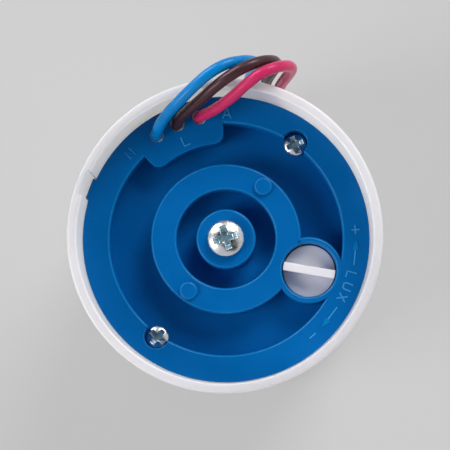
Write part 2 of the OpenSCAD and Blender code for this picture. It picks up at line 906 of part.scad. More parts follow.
module lead_tips() {
    color(zinc)
        for (route = [blue_route, brown_route, red_route])
            let(end = route[len(route) - 1])
            translate([end.x, end.y, end.z + land_z - tip_len])
                cylinder(d = tip_d, h = tip_len);
}

housing_cup();
base_plate();
lead_seal();
lux_dial();
trimmer_body();
trimmer_rotor();
bracket_screw();
captive_nut();
base_screws();
circuit_board();
board_screws();
relay();
film_capacitor();
smoothing_capacitor();
timing_capacitor();
varistor();
light_sensor();
sensor_tube();
rectifier_diodes();
zener_diode();
dropper_resistor();
signal_resistors();
transistors();
tail_blue();
tail_brown();
tail_red();
lead_blue();
lead_brown();
lead_red();
lead_tips();
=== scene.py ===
import math

import bpy
from bpy.props import FloatProperty, FloatVectorProperty, IntProperty, PointerProperty
from mathutils import Matrix, Vector


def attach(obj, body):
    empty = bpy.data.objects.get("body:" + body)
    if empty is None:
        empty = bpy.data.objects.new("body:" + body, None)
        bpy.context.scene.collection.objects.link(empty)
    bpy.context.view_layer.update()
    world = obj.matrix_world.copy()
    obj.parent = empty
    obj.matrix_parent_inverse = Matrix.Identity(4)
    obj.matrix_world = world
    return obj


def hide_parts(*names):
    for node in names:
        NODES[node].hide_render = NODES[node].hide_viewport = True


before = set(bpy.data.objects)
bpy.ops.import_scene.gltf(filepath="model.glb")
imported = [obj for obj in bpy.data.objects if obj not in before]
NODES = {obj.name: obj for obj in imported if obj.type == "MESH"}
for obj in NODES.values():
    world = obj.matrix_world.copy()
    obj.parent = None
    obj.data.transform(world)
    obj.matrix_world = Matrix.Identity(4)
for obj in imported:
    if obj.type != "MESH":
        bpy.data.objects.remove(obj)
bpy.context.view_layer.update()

bl_info = {
    "name": "Photocell switch",
    "version": (1, 0, 0),
    "blender": (4, 5, 0),
    "location": "View3D > Sidebar > Photocell",
    "description": "Dresses the solids of a photocell switch in its moulded, plated and extruded finishes",
    "category": "Object",
}

MM = 0.001

# Heights, distances from the centre and directions that the solids share with these pieces, in millimetres
# and degrees
LAND = 60.5
SEAT = 54.5
SCREW_TURN = 54.5
SCREW_REACH = 26.018
PLATE_EDGE = 31.0
DIAL_AXIS = (18.136, -6.889)
RING_EDGE = 16.4
PIP_FOOT = 61.0
LEAD_FOOT = -3.5

# Corners where a screw pocket opens into the recess: how far they reach from the centre, from the screw's
# axis and below the land, and the distance below which their points are one
CORNER_FROM_CENTRE = 26.2
CORNER_FROM_SCREW = 3.5
CORNER_DEPTH = 0.4
CORNER_MERGE = 0.09

# Share of the rounding that faint edges get, and where two kinds of them lie: the low steps near the dial,
# and the dial boss where it meets the land
FAINT = 0.2
STEP_FROM_DIAL = 8
STEP_FROM_RING = 0.6
BOSS_FROM_DIAL = (6.5, 7.6)
BOSS_FROM_CENTRE = 25

# Distances, in millimetres, below which points of a solid or of a turned piece are one
SOLID_MERGE = 0.002
TURNED_MERGE = 0.001

# A face is level where its normal's upright share is above the first value, and an edge is upright where it
# rises by more than the second, in millimetres
LEVEL = 0.9999
UPRIGHT = 0.5

# Noise lies mostly between these two values
NOISE_LOW = 0.3
NOISE_HIGH = 0.7

# Distance from the axis in millimetres, times how much a face looks away from it: below the first value the
# face looks inwards and gets a paler colour, painted light, and above the second it doesn't
INWARD = (-20, -10)

# Screws, in millimetres: thread, head across and high, and length; then the recess's reach and width as
# shares of the head's radius. Turns are in degrees, and each base screw also has its side of the centre
BRACKET_SCREW = {"d": 4.0, "head": 8.0, "height": 2.7, "length": 10.0, "reach": 0.74, "wide": 0.37}
BASE_SCREW = {"d": 2.9, "head": 5.0, "height": 2.04, "length": 9.5, "reach": 0.9, "wide": 0.5}
BRACKET_TURN = 17
BASE_TURNS = (("upper", 1, 22), ("lower", -1, 47))

# Outline of a screw, in millimetres: how much narrower and how long its point is, how long its neck is, and
# the chamfer under its head
POINT_NARROWER = 0.3
POINT_LONG = 0.6
NECK_LONG = 0.4
PAN_CHAMFER = 0.15

# Pan head: its sloping rim's width as a share of the radius, the lean of the rim and the slope of the dome
# where they meet, in degrees, and the rounding of its edges as a share of its width
PAN_RIM = 0.11
PAN_LEAN = 43
PAN_SLOPE = 30
PAN_ROUNDING = 0.014

# Cutters of a cross recess: the bars' length in reaches and their foot as shares of their top; the heights of
# the bars' and the cone's middles as shares of the head's; the cone's foot and top as shares of the recess's
# width
BAR_LONG = 2.56
BAR_FOOT = (0.42, 0.8, 1)
BAR_HEIGHT = 0.88
CONE_HEIGHT = 0.95
CONE_FOOT = 0.3
CONE_TOP = 1.26

# Thread: depth and crest as shares of the pitch, then in millimetres how far its foot is sunk into the shank,
# its crest is held back and its ends stay away from the shank's
THREAD_DEPTH = 0.42
CREST = (0.42, 0.55)
THREAD_SUNK = 0.05
THREAD_PLAY = 0.02
THREAD_END = 0.8

# Stage, in metres: where the camera and the lamps look, and each lamp's place and side
CAMERA_AIM = (0.00008, 0.0021, 0.07)
LAMP_AIM = (0, 0, 0.06)
LAMPS = {
    "key": ((0.513, 0.961, 0.85), 0.6),
    "fill": ((-1.026, -0.373, 0.85), 0.6),
    "gloss": ((-0.75, 0.9, 0.6), 0.8),
}

# Direction of the studio's pale walls, which stand on both sides, and how fast they darken upwards
WALL_SIDE = (0.7, 0.714, 0)
WALL_FALL = 0.9

# Routes of the leads: a foot inside each hole, the hole's mouth, then points along the lead, with heights
# measured from the land
LEAD_ROUTES = {
    "blue": [
        (-15.2, 22.82, LEAD_FOOT), (-15.2, 22.82, 0), (-14.4, 24.3, 3.6), (-12.3, 26.7, 7.2),
        (-9.2, 29.4, 10.4), (-6.1, 32.1, 12.3), (-3.1, 34.5, 13), (0, 36.3, 12.7), (3, 37.3, 11),
        (5.5, 37.9, 7.8), (6.7, 38.06, 3), (6.5, 37.9, -2.5), (5.6, 37.6, -8), (4.9, 37.3, -14),
        (4.6, 37.1, -20), (4.5, 37, -26), (4.5, 37, -32), (4.5, 37, -38), (4.5, 37, -44), (4.5, 37, -49),
    ],
    "brown": [
        (-10.71, 25.24, LEAD_FOOT), (-10.71, 25.24, 0), (-9.9, 26.1, 3), (-7.9, 27.5, 6), (-4.8, 29.6, 9.5),
        (-1.8, 31.8, 12.1), (1.2, 33.8, 13.45), (4.4, 35.6, 13.64), (7.4, 36.9, 12.4), (9.8, 37.7, 9.4),
        (11, 38, 5), (10.8, 37.8, -0.5), (9.9, 37.4, -6), (9, 37, -12), (8.5, 36.8, -18), (8.3, 36.7, -24),
        (8.3, 36.7, -30), (8.3, 36.7, -36), (8.3, 36.7, -42), (8.3, 36.7, -48),
    ],
    "red": [
        (-5.86, 26.78, LEAD_FOOT), (-5.86, 26.78, 0), (-4.7, 26.9, 3), (-2.5, 27.5, 5.8), (-0.1, 28.7, 8.4),
        (2.4, 30.3, 10.8), (4.9, 32.2, 12.8), (7.8, 34.2, 13.6), (10.8, 35.6, 12.7), (13.1, 36.5, 9.6),
        (14.3, 36.9, 5), (14.1, 36.7, -0.5), (13.1, 36.3, -6), (12.2, 36, -12), (11.6, 35.8, -18),
        (11.4, 35.7, -24), (11.4, 35.7, -30), (11.4, 35.7, -36), (11.4, 35.7, -42), (11.4, 35.7, -48),
    ],
}

# Strokes of the raised marks, in millimetres: right runs clockwise round the land, up points outwards
STROKES = {
    "neutral": [[(-0.68, -1.05), (-0.68, 1.05), (0.72, -1.05), (0.72, 1.05)]],
    "live": [[(-0.6, 1.1), (-0.6, -1.0), (0.8, -1.0)]],
    "load": [[(-0.93, -1.05), (-0.12, 1.05), (0.15, 1.05), (0.95, -1.05)], [(-0.6, -0.2), (0.65, -0.2)]],
    "plus": [[(-0.97, 0), (0.97, 0)], [(0, -0.92), (0, 0.92)]],
    "minus": [[(-0.93, 0), (0.93, 0)]],
    "letter_u": [
        [(-0.75, 0.95), (-0.75, -0.65), (-0.45, -1.05), (0.35, -1.05), (0.68, -0.65), (0.68, 0.95)],
    ],
    "letter_x": [[(-0.73, -1.03), (0.73, 1.03)], [(0.73, -1.03), (-0.73, 1.03)]],
    "shaft_left": [[(2.9, 0), (-0.4, 0)]],
    "shaft_right": [[(-2.9, 0), (0.4, 0)]],
}

# Marks on the land: strokes, direction in degrees and distance from the centre in millimetres
MARKS = [
    ("neutral", 138.3, 28.2), ("live", 112.4, 23.3), ("load", 89.6, 27.45),
    ("plus", 3.9, 28.3), ("shaft_left", -5.9, 28.35), ("live", -16.3, 28.4), ("letter_u", -21.8, 28.6),
    ("letter_x", -27.0, 28.4), ("shaft_right", -37.7, 28.35), ("minus", -48.4, 28.4),
]

# Arrow heads: distance of the arrows from the centre, each one's direction, and 1 where it points clockwise
MARK_REACH = 28.35
ARROW_HEADS = [(-5.9, -1), (-37.7, 1)]

# Their shares of an even triangle's width and length, and their height as a share of a stroke's width; then
# in millimetres how far they lie ahead of the arrow's middle and how deep they are sunk into the land
ARROW_SHARES = (0.866, 1.633, 1)
ARROW_TALL = 0.8
ARROW_AHEAD = 1.267
ARROW_SUNK = 0.1

# Finishes inside the cup: name, colour and settings of each, with what the real material gives the eye
INSIDE_FINISHES = {
    # Filled polyester: opaque blue, satin
    "trimmer_body": ("pbt_moulded_blue", "#27489a", {"rough": 0.45}),
    # Acetal: cream and waxy
    "trimmer_rotor": ("acetal_moulded_cream", "#e4dfd2", {"rough": 0.4}),
    # Resin-bonded paper: brown and matt, with darker fibres
    "circuit_board": ("phenolic_paper_pressed", "#b98d4b", {"rough": 0.6, "flow": 2.5, "spread": 0.14}),
    # Filled polyester: brighter blue, satin
    "relay": ("pbt_moulded_relay_blue", "#2356a8", {"rough": 0.4}),
    # Cast epoxy: yellow, smooth
    "film_capacitor": ("epoxy_cast_yellow", "#d2b437", {"rough": 0.35}),
    # Shrunk sleeves: dark blue, glossy, with soft ripples
    "smoothing_capacitor": ("pvc_shrunk_navy", "#1c2a52", {"rough": 0.3, "grain": 0.6}),
    "timing_capacitor": ("pvc_shrunk_navy_small", "#1c2a52", {"rough": 0.3, "grain": 0.6}),
    # Dipped epoxy: blue and glossy, with a lumpy skin
    "varistor": ("epoxy_dipped_blue", "#1d4c9c", {"rough": 0.32, "grain": 1.4, "depth": 0.05}),
    # Fired ceramic: orange and chalky, with paler patches
    "light_sensor": ("ceramic_fired_orange", "#d98a4e", {"rough": 0.5, "flow": 1.0, "spread": 0.2}),
    # Black plastics: matt to satin, without depth
    "sensor_tube": ("abs_moulded_black", "#17171a", {"rough": 0.5}),
    "rectifier_diodes": ("epoxy_moulded_black", "#1b1b1d", {"rough": 0.45}),
    # Fused glass: amber and very glossy
    "zener_diode": ("glass_fused_amber", "#b8542a", {"rough": 0.12}),
    # Dipped lacquer: glossy, with soft waves
    "dropper_resistor": ("lacquer_dipped_blue_grey", "#7398ae", {"rough": 0.35, "grain": 0.8}),
    "signal_resistors": ("lacquer_dipped_tan", "#d0b080", {"rough": 0.35, "grain": 0.8}),
    "transistors": ("epoxy_moulded_matt_black", "#202022", {"rough": 0.55}),
}


def linear(code):
    """Linear colour with alpha from an sRGB hex code."""
    parts = [int(code[i:i + 2], 16) / 255 for i in (1, 3, 5)]
    return [c / 12.92 if c <= 0.04045 else ((c + 0.055) / 1.055) ** 2.4 for c in parts] + [1.0]


def toned(colour, factor):
    """The colour made darker or lighter by a factor, alpha kept."""
    return [min(c * factor, 1.0) for c in colour[:3]] + [1.0]


class LeadSettings(bpy.types.PropertyGroup):
    """Sizes and colours of the three free leads."""

    diameter: FloatProperty(
        name="Lead diameter", description="Outside diameter of the insulation", default=0.0025, unit="LENGTH")
    tip_length: FloatProperty(
        name="Tip length", description="Bare length of each stripped end", default=0.007, unit="LENGTH")
    tip_diameter: FloatProperty(
        name="Tip diameter", description="Diameter of the twisted strands", default=0.0012, unit="LENGTH")
    twist: FloatProperty(
        name="Twist", description="Length of one turn of the strands", default=0.008, unit="LENGTH")
    blue: FloatVectorProperty(
        name="Blue", description="Insulation of the neutral lead",
        default=linear("#0082cc"), size=4, subtype="COLOR")
    brown: FloatVectorProperty(
        name="Brown", description="Insulation of the live lead",
        default=linear("#40282c"), size=4, subtype="COLOR")
    red: FloatVectorProperty(
        name="Red", description="Insulation of the load lead",
        default=linear("#d02f66"), size=4, subtype="COLOR")


class MouldSettings(bpy.types.PropertyGroup):
    """Sizes and colours of the moulded pieces."""

    fillet: FloatProperty(
        name="Fillet", description="Width of the rounding on the base plate's edges",
        default=0.00012, unit="LENGTH")
    stroke: FloatProperty(
        name="Stroke", description="Width of the raised marks", default=0.00036, unit="LENGTH")
    dial_fillet: FloatProperty(
        name="Dial fillet", description="Width of the rounding on the dial's edges",
        default=0.00009, unit="LENGTH")
    base: FloatVectorProperty(
        name="Base plate", description="Colour of the base plate",
        default=linear("#0064ad"), size=4, subtype="COLOR")
    # Painted paler than the base plate: a painted highlight on its rounded edges
    edge: FloatVectorProperty(
        name="Base edges", description="Colour of the base plate's rubbed edges",
        default=linear("#0678bb"), size=4, subtype="COLOR")
    # Painted paler than the base plate: a painted highlight on the raised strokes
    mark: FloatVectorProperty(
        name="Marks", description="Colour of the raised marks",
        default=linear("#3092d2"), size=4, subtype="COLOR")
    cup: FloatVectorProperty(
        name="Cup", description="Colour of the cup", default=linear("#d9d6db"), size=4, subtype="COLOR")
    dial: FloatVectorProperty(
        name="Dial", description="Colour of the sensitivity dial",
        default=linear("#eeecf1"), size=4, subtype="COLOR")


class ScrewSettings(bpy.types.PropertyGroup):
    """Shape of the pan-head screws."""

    bracket_pitch: FloatProperty(
        name="Bracket pitch", description="Thread pitch of the bracket screw", default=0.0007, unit="LENGTH")
    base_pitch: FloatProperty(
        name="Base pitch", description="Thread pitch of the base screws", default=0.0011, unit="LENGTH")
    segments: IntProperty(
        name="Segments", description="Steps round each screw", default=64, min=24, max=128)


class StageSettings(bpy.types.PropertyGroup):
    """Camera, lamps and floor."""

    distance: FloatProperty(
        name="Distance", description="From the camera to the rim", default=0.55, unit="LENGTH")
    tilt: FloatProperty(
        name="Tilt", description="Lean of the view away from straight down",
        default=math.radians(5.7), subtype="ANGLE")
    turn: FloatProperty(
        name="Turn", description="Direction of that lean", default=math.radians(17), subtype="ANGLE")
    lens: FloatProperty(name="Lens", description="Focal length in millimetres", default=205.1)
    key: FloatProperty(name="Key", description="Power of the key lamp in watts", default=10.0)
    fill: FloatProperty(name="Fill", description="Power of the fill lamp in watts", default=7.0)
    gloss: FloatProperty(
        name="Gloss", description="Power in watts of the lamp that only shows in gloss", default=13.0)
    room: FloatProperty(name="Room", description="Strength of the light from the room's walls", default=0.74)
    floor: FloatVectorProperty(
        name="Floor", description="Colour of the floor", default=linear("#cfcfcf"), size=4, subtype="COLOR")


def add(mat, kind, settings=None, sockets=None):
    """Adds a node to a material, sets its fields, then fills or links its sockets."""
    node = mat.node_tree.nodes.new(kind)
    for field, value in (settings or {}).items():
        setattr(node, field, value)
    for socket, value in (sockets or {}).items():
        if isinstance(value, bpy.types.NodeSocket):
            mat.node_tree.links.new(value, node.inputs[socket])
        else:
            node.inputs[socket].default_value = value
    return node


def bare_material(name):
    """A material with an empty node tree."""
    mat = bpy.data.materials.new(name)
    mat.use_nodes = True
    mat.node_tree.nodes.clear()
    return mat


def two_tones(mat, factor, low, high, start=NOISE_LOW, end=NOISE_HIGH):
    """Colour that runs from low to high as the factor goes from start to end."""
    ramp = add(mat, "ShaderNodeValToRGB", {}, {"Fac": factor})
    ramp.color_ramp.elements[0].position = start
    ramp.color_ramp.elements[0].color = low
    ramp.color_ramp.elements[1].position = end
    ramp.color_ramp.elements[1].color = high
    return ramp.outputs["Color"]


def finish_surface(mat, sockets):
    """Joins a principled shader with these sockets to the material's output."""
    shader = add(mat, "ShaderNodeBsdfPrincipled", {}, sockets)
    add(mat, "ShaderNodeOutputMaterial", {}, {"Surface": shader.outputs["BSDF"]})
    return mat


def moulded_plastic(
        name, colour, rough=0.4, grain=0.25, depth=0.006, flow=9.0, spread=0.05, inside=None, **extra):
    """Injection-moulded plastic.

    The spark-eroded mould leaves a fine grain, grain millimetres across, that breaks up the gloss.
    Melt that cooled at different times leaves faint cloudy flow marks some millimetres wide.
    Inside is a colour and a scatter in millimetres for faces that look towards the axis: there the colour is
    painted paler, as painted light for light shining through the wall, and more light shines through it.
    """
    mat = bare_material(name)
    coords = add(mat, "ShaderNodeTexCoord").outputs
    place = coords["Object"]
    clouds = add(mat, "ShaderNodeTexNoise", {}, {
        "Vector": place, "Scale": 1 / (flow * MM), "Detail": 3.0, "Roughness": 0.55}).outputs["Fac"]
    pits = add(mat, "ShaderNodeTexNoise", {}, {
        "Vector": place, "Scale": 1 / (grain * MM), "Detail": 2.0}).outputs["Fac"]
    gloss = add(mat, "ShaderNodeMapRange", {}, {
        "Value": clouds, "From Min": NOISE_LOW, "From Max": NOISE_HIGH,
        "To Min": rough - 0.05, "To Max": rough + 0.06})
    bump = add(mat, "ShaderNodeBump", {}, {"Height": pits, "Strength": 0.35, "Distance": depth * MM})
    tone = two_tones(mat, clouds, toned(colour, 1 - spread), toned(colour, 1 + spread))
    # Faces that look inwards take the paler inside colour, painted light, and the wider scatter
    if inside:
        painted_inner_light, scatter = inside
        flat = add(mat, "ShaderNodeVectorMath", {"operation": "MULTIPLY"}, {0: place, 1: (1, 1, 0)})
        facing = add(mat, "ShaderNodeVectorMath", {"operation": "DOT_PRODUCT"}, {
            0: flat.outputs["Vector"], 1: coords["Normal"]})
        rest = add(mat, "ShaderNodeMapRange", {}, {
            "Value": facing.outputs["Value"],
            "From Min": INWARD[0] * MM, "From Max": INWARD[1] * MM}).outputs["Result"]
        tone = add(mat, "ShaderNodeMix", {"data_type": "RGBA"}, {
            "Factor": rest, 6: painted_inner_light, 7: tone}).outputs[2]
        extra["Subsurface Radius"] = add(mat, "ShaderNodeMix", {"data_type": "VECTOR"}, {
            "Factor": rest, 4: scatter, 5: extra["Subsurface Radius"]}).outputs[1]
    return finish_surface(mat, {
        "Base Color": tone, "Roughness": gloss.outputs["Result"], "Normal": bump.outputs["Normal"],
        "IOR": 1.53, **extra})


def plated_steel(name, colour, rough=0.2, metallic=1.0):
    """Zinc-plated steel, blue passivated after tumbling.

    Bright and mirror-like, with faint mottling where the passivation is thicker and tiny dents from the
    barrel.
    """
    mat = bare_material(name)
    place = add(mat, "ShaderNodeTexCoord").outputs["Object"]
    mottle = add(mat, "ShaderNodeTexNoise", {}, {
        "Vector": place, "Scale": 1 / (0.9 * MM), "Detail": 4.0, "Roughness": 0.6}).outputs["Fac"]
    dents = add(mat, "ShaderNodeTexNoise", {}, {
        "Vector": place, "Scale": 1 / (0.35 * MM), "Detail": 2.0}).outputs["Fac"]
    gloss = add(mat, "ShaderNodeMapRange", {}, {
        "Value": mottle, "From Min": NOISE_LOW, "From Max": NOISE_HIGH,
        "To Min": rough - 0.07, "To Max": rough + 0.1})
    bump = add(mat, "ShaderNodeBump", {}, {"Height": dents, "Strength": 0.25, "Distance": 0.012 * MM})
    return finish_surface(mat, {
        "Base Color": two_tones(mat, mottle, toned(colour, 0.82), toned(colour, 1.06)),
        "Metallic": metallic, "Roughness": gloss.outputs["Result"], "Normal": bump.outputs["Normal"]})


def extruded_pvc(name, colour):
    """Soft PVC insulation drawn through a die.

    Satin, with a soft highlight that takes on half of the plastic's own hue, slight waves along its length
    and a dusty bloom in patches.
    """
    strongest = max(colour[:3])
    mat = bare_material(name)
    place = add(mat, "ShaderNodeTexCoord").outputs["Object"]
    bloom = add(mat, "ShaderNodeTexNoise", {}, {
        "Vector": place, "Scale": 1 / (3.5 * MM), "Detail": 4.0, "Roughness": 0.6}).outputs["Fac"]
    waves = add(mat, "ShaderNodeTexNoise", {}, {
        "Vector": place, "Scale": 1 / (1.2 * MM), "Detail": 2.0}).outputs["Fac"]
    gloss = add(mat, "ShaderNodeMapRange", {}, {
        "Value": bloom, "From Min": NOISE_LOW, "From Max": NOISE_HIGH, "To Min": 0.24, "To Max": 0.34})
    bump = add(mat, "ShaderNodeBump", {}, {"Height": waves, "Strength": 0.3, "Distance": 0.02 * MM})
    return finish_surface(mat, {
        "Base Color": two_tones(mat, bloom, toned(colour, 0.92), toned(colour, 1.08)),
        "Roughness": gloss.outputs["Result"], "Normal": bump.outputs["Normal"], "IOR": 1.53,
        "Specular IOR Level": 0.34,
        "Specular Tint": [0.5 + 0.5 * c / strongest for c in colour[:3]] + [1.0]})


def activate(obj):
    """Makes one object the only selected and active one."""
    if bpy.context.mode != "OBJECT":
        bpy.ops.object.mode_set(mode="OBJECT")
    bpy.ops.object.select_all(action="DESELECT")
    obj.select_set(True)
    bpy.context.view_layer.objects.active = obj


def picked(obj, kind, test):
    """Enters edit mode with only those faces or points of a mesh selected that pass a test."""
    activate(obj)
    bpy.ops.object.mode_set(mode="EDIT")
    bpy.ops.mesh.select_mode(type=kind)
    bpy.ops.mesh.select_all(action="DESELECT")
    bpy.ops.object.mode_set(mode="OBJECT")
    for part in obj.data.polygons if kind == "FACE" else obj.data.vertices:
        part.select = test(part)
    bpy.ops.object.mode_set(mode="EDIT")


def copy_of(node, name):
    """A copy of a CAD node's mesh with its loose triangles merged and paired into quads."""
    obj = bpy.data.objects.new(name, NODES[node].data.copy())
    bpy.context.scene.collection.objects.link(obj)
    obj.data.materials.clear()
    activate(obj)
    bpy.ops.object.mode_set(mode="EDIT")
    bpy.ops.mesh.select_all(action="SELECT")
    bpy.ops.mesh.customdata_custom_splitnormals_clear()
    bpy.ops.mesh.remove_doubles(threshold=SOLID_MERGE * MM)
    bpy.ops.mesh.tris_convert_to_quads(face_threshold=math.radians(1), shape_threshold=math.radians(170))
    bpy.ops.object.mode_set(mode="OBJECT")
    return obj


def applied(obj, kind, **settings):
    """Adds a modifier to the object, sets it and applies it."""
    activate(obj)
    mod = obj.modifiers.new(kind.title(), kind)
    for field, value in settings.items():
        setattr(mod, field, value)
    bpy.ops.object.modifier_apply(modifier=mod.name)
    return obj


def dressed(obj, mat, body, slot, *nodes):
    """Gives a piece its body and any new material, and hides the CAD nodes that it replaces. The slot is not
    used.
    """
    if mat:
        obj.data.materials.clear()
        obj.data.materials.append(mat)
    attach(obj, body)
    if nodes:
        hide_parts(*nodes)
    return obj


def smoothed(obj, degrees):
    """Smooth shading with sharp edges above an angle."""
    activate(obj)
    bpy.ops.object.shade_smooth_by_angle(angle=math.radians(degrees))
    return obj


def levelled(obj):
    """Shades the level faces flat, so that the rounded edges beside them don't tint them."""
    for face in obj.data.polygons:
        if abs(face.normal.z) > LEVEL:
            face.use_smooth = False
    return obj


def placed(obj, place, turn):
    """Moves a piece to its place, turned about the vertical, and applies that to its mesh."""
    activate(obj)
    obj.location = place
    obj.rotation_euler.z = turn
    bpy.ops.object.transform_apply(location=True, rotation=True, scale=True)
    return obj


def in_pocket_corner(spot):
    """True near the corners where a base screw's pocket opens into the recess, for a place in millimetres."""
    turn = math.radians(SCREW_TURN)
    screw = Vector((math.cos(turn), math.sin(turn))) * SCREW_REACH
    nearest = min((spot.xy - screw).length, (spot.xy + screw).length)
    return spot.xy.length < CORNER_FROM_CENTRE and nearest < CORNER_FROM_SCREW


def finished(node, mat):
    """Gives a CAD node that shows as it is its material."""
    NODES[node].data.materials.clear()
    NODES[node].data.materials.append(mat)


class PHOTOCELL_OT_leads(bpy.types.Operator):
    """Three insulated leads with twisted bare ends"""

    bl_idname = "photocell.leads"
    bl_label = "Leads"

    def execute(self, context):
        sizes = context.scene.photocell_leads
        # Tinned copper, twisted: silver with a warm cast, duller than zinc plate
        tinned = plated_steel("tinned_copper_twisted", linear("#cdc4b6"), rough=0.3)
        for name, route in LEAD_ROUTES.items():
            points = [Vector((x, y, z + LAND)) * MM for x, y, z in route]
            lead = self.insulation(context, "lead_" + name + "_pvc", points, sizes)
            tip = self.twisted_tip("tip_" + name, points[-1], sizes)
            dressed(tip, tinned, "housing", "tinned_copper", "lead_tips")
            dressed(lead, extruded_pvc("pvc_extruded_" + name, getattr(sizes, name)), "housing",
                    "lead_pvc_" + name, "lead_" + name)
        return {"FINISHED"}

    def insulation(self, context, name, points, sizes):
        """A round sleeve that bends smoothly through its points."""
        line = bpy.data.curves.new(name, "CURVE")
        line.dimensions = "3D"
        line.bevel_depth = sizes.diameter / 2
        line.bevel_resolution = 6
        line.resolution_u = 8
        line.use_fill_caps = True
        spline = line.splines.new("BEZIER")
        spline.bezier_points.add(len(points) - 1)
        for knot, point in zip(spline.bezier_points, points):
            knot.co = point
            knot.handle_left_type = knot.handle_right_type = "AUTO"
        lead = bpy.data.objects.new(name, line)
        context.scene.collection.objects.link(lead)
        context.view_layer.update()
        return lead

    def twisted_tip(self, name, top, sizes):
        """Six strands twisted round a seventh, from just inside the insulation to the bare end."""
        strand = sizes.tip_diameter / 6
        line = bpy.data.curves.new(name, "CURVE")
        line.dimensions = "3D"
        line.bevel_depth = strand
        line.bevel_resolution = 2
        line.use_fill_caps = True
        steps = 24
        for k in range(7):
            spline = line.splines.new("POLY")
            spline.points.add(steps)
            for i, knot in enumerate(spline.points):
                drop = sizes.tip_length * i / steps
                angle = math.tau * (k / 6 + drop / sizes.twist)
                out = 0 if k == 6 else 2 * strand
                knot.co = (top.x + out * math.cos(angle), top.y + out * math.sin(angle), top.z - drop, 1)
        tip = bpy.data.objects.new(name, line)
        bpy.context.scene.collection.objects.link(tip)
        activate(tip)
        bpy.ops.object.convert(target="MESH")
        return smoothed(bpy.context.object, 50)


